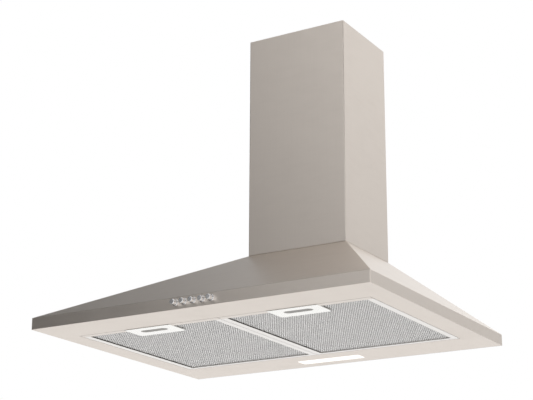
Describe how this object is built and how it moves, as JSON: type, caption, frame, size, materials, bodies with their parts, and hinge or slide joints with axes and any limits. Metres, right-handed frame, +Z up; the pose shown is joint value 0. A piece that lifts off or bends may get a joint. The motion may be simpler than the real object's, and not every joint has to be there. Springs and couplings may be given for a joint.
{
  "type": "chimney range hood",
  "caption": "Wall-hung chimney range hood: square flue cover on a shallow pyramid canopy, push buttons in the front rim, hinged mesh grease filters, strip lamp, blower and duct collar.",
  "frame": {"origin": "centre of the four wall screw holes, on the wall plane, 80 mm above the underside", "axes": "+X to the right as seen from the front, +Y into the wall, +Z up"},
  "size_m": [0.6, 0.4895, 0.5736],
  "materials": {
    "hood_steel": "fine vertical brushing, satin",
    "chimney_steel": "fine vertical brushing, satin",
    "panel_steel": "fine brushing, satin",
    "zinc_sheet": "hot-dip galvanised, faint spangle",
    "filter_frame_metal": "satin rolled sheet",
    "filter_net_metal": "expanded sheet, bright edges",
    "handle_metal": "smooth satin",
    "grip_plastic": "grey moulded",
    "spring_steel": "drawn wire",
    "button_chrome": "polished",
    "bezel_chrome": "polished",
    "black_plastic": "moulded, fine grain",
    "board_green": "solder resist",
    "lens_white": "opal diffuser, smooth",
    "lamp_white": "white powder coat",
    "diode_yellow": "phosphor dome",
    "scroll_plastic": "flame-retardant moulding",
    "impeller_plastic": "moulded",
    "motor_steel": "zinc-plated can",
    "shaft_steel": "ground",
    "screw_steel": "zinc-plated",
    "collar_plastic": "moulded",
    "flap_plastic": "moulded",
    "capacitor_white": "smooth",
    "terminal_plastic": "moulded"
  },
  "bodies": {
    "hood": {"canopy_shell": "hood_steel", "back_panel": "zinc_sheet", "deck_plate": "zinc_sheet", "underside_panel": "panel_steel", "chimney_cover": "chimney_steel", "chimney_bracket": "zinc_sheet", "chimney_screws": "screw_steel", "button_bezels": "bezel_chrome", "switch_block": "black_plastic", "button_spring_1": "spring_steel", "button_spring_2": "spring_steel", "button_spring_3": "spring_steel", "button_spring_4": "spring_steel", "button_spring_5": "spring_steel", "control_board": "board_green", "lamp_lens": "lens_white", "lamp_housing": "lamp_white", "lamp_board": "board_green", "lamp_diodes": "diode_yellow", "lamp_driver": "black_plastic", "scroll_right": "scroll_plastic", "scroll_left": "scroll_plastic", "motor": "motor_steel", "motor_bracket": "zinc_sheet", "motor_screws": "screw_steel", "outlet_collar": "collar_plastic", "flap_pins": "shaft_steel", "collar_screws": "screw_steel", "capacitor": "capacitor_white", "capacitor_clip": "zinc_sheet", "terminal_box": "terminal_plastic", "terminal_lid": "terminal_plastic", "mains_gland": "black_plastic", "gland_nut": "black_plastic"},
    "extension": {"chimney_extension": "chimney_steel"},
    "fan": {"impeller": "impeller_plastic", "motor_shaft": "shaft_steel"},
    "flap_front": {"front_flap": "flap_plastic"},
    "flap_rear": {"rear_flap": "flap_plastic"},
    "push_button_1": {"button_1": "button_chrome"},
    "push_button_2": {"button_2": "button_chrome"},
    "push_button_3": {"button_3": "button_chrome"},
    "push_button_4": {"button_4": "button_chrome"},
    "push_button_5": {"button_5": "button_chrome"},
    "filter_left": {"filter_frame_left": "filter_frame_metal", "filter_mesh_left": "filter_net_metal", "handle_plate_left": "handle_metal", "latch_box_left": "handle_metal", "latch_spring_left": "spring_steel"},
    "grip_left": {"latch_grip_left": "grip_plastic", "latch_tongue_left": "spring_steel"},
    "filter_right": {"filter_frame_right": "filter_frame_metal", "filter_mesh_right": "filter_net_metal", "handle_plate_right": "handle_metal", "latch_box_right": "handle_metal", "latch_spring_right": "spring_steel"},
    "grip_right": {"latch_grip_right": "grip_plastic", "latch_tongue_right": "spring_steel"}
  },
  "joints": [
    {"name": "extension_slide", "type": "slide", "parent": "hood", "child": "extension", "axis": [0, 0, 1], "range_m": [0, 0.3]},
    {"name": "fan_spin", "type": "hinge", "parent": "hood", "child": "fan", "pos_m": [0, -0.1196, 0.016], "axis": [1, 0, 0], "continuous": true},
    {"name": "front_flap_hinge", "type": "hinge", "parent": "hood", "child": "flap_front", "pos_m": [0, -0.0836, 0.1278], "axis": [-1, 0, 0], "range_deg": [0, 80]},
    {"name": "rear_flap_hinge", "type": "hinge", "parent": "hood", "child": "flap_rear", "pos_m": [0, -0.0756, 0.1278], "axis": [1, 0, 0], "range_deg": [0, 80]},
    {"name": "button_1_press", "type": "slide", "parent": "hood", "child": "push_button_1", "axis": [0, 1, 0], "range_m": [0, 0.004], "stiffness_N_per_m": 400, "deforming": ["button_spring_1"]},
    {"name": "button_2_press", "type": "slide", "parent": "hood", "child": "push_button_2", "axis": [0, 1, 0], "range_m": [0, 0.004], "stiffness_N_per_m": 400, "deforming": ["button_spring_2"]},
    {"name": "button_3_press", "type": "slide", "parent": "hood", "child": "push_button_3", "axis": [0, 1, 0], "range_m": [0, 0.004], "stiffness_N_per_m": 400, "deforming": ["button_spring_3"]},
    {"name": "button_4_press", "type": "slide", "parent": "hood", "child": "push_button_4", "axis": [0, 1, 0], "range_m": [-0.002, 0.002], "stiffness_N_per_m": 400, "deforming": ["button_spring_4"]},
    {"name": "button_5_press", "type": "slide", "parent": "hood", "child": "push_button_5", "axis": [0, 1, 0], "range_m": [0, 0.004], "stiffness_N_per_m": 400, "deforming": ["button_spring_5"]},
    {"name": "filter_left_hinge", "type": "hinge", "parent": "hood", "child": "filter_left", "pos_m": [-0.1307, -0.0862, -0.0797], "axis": [1, 0, 0], "range_deg": [0, 70], "deforming": ["latch_tongue_left"]},
    {"name": "latch_left_slide", "type": "slide", "parent": "filter_left", "child": "grip_left", "axis": [0, 1, 0], "range_m": [0, 0.006], "stiffness_N_per_m": 300, "springref_m": -0.003, "deforming": ["latch_spring_left"]},
    {"name": "filter_right_hinge", "type": "hinge", "parent": "hood", "child": "filter_right", "pos_m": [0.1307, -0.0862, -0.0797], "axis": [1, 0, 0], "range_deg": [0, 70], "deforming": ["latch_tongue_right"]},
    {"name": "latch_right_slide", "type": "slide", "parent": "filter_right", "child": "grip_right", "axis": [0, 1, 0], "range_m": [0, 0.006], "stiffness_N_per_m": 300, "springref_m": -0.003, "deforming": ["latch_spring_right"]}
  ]
}
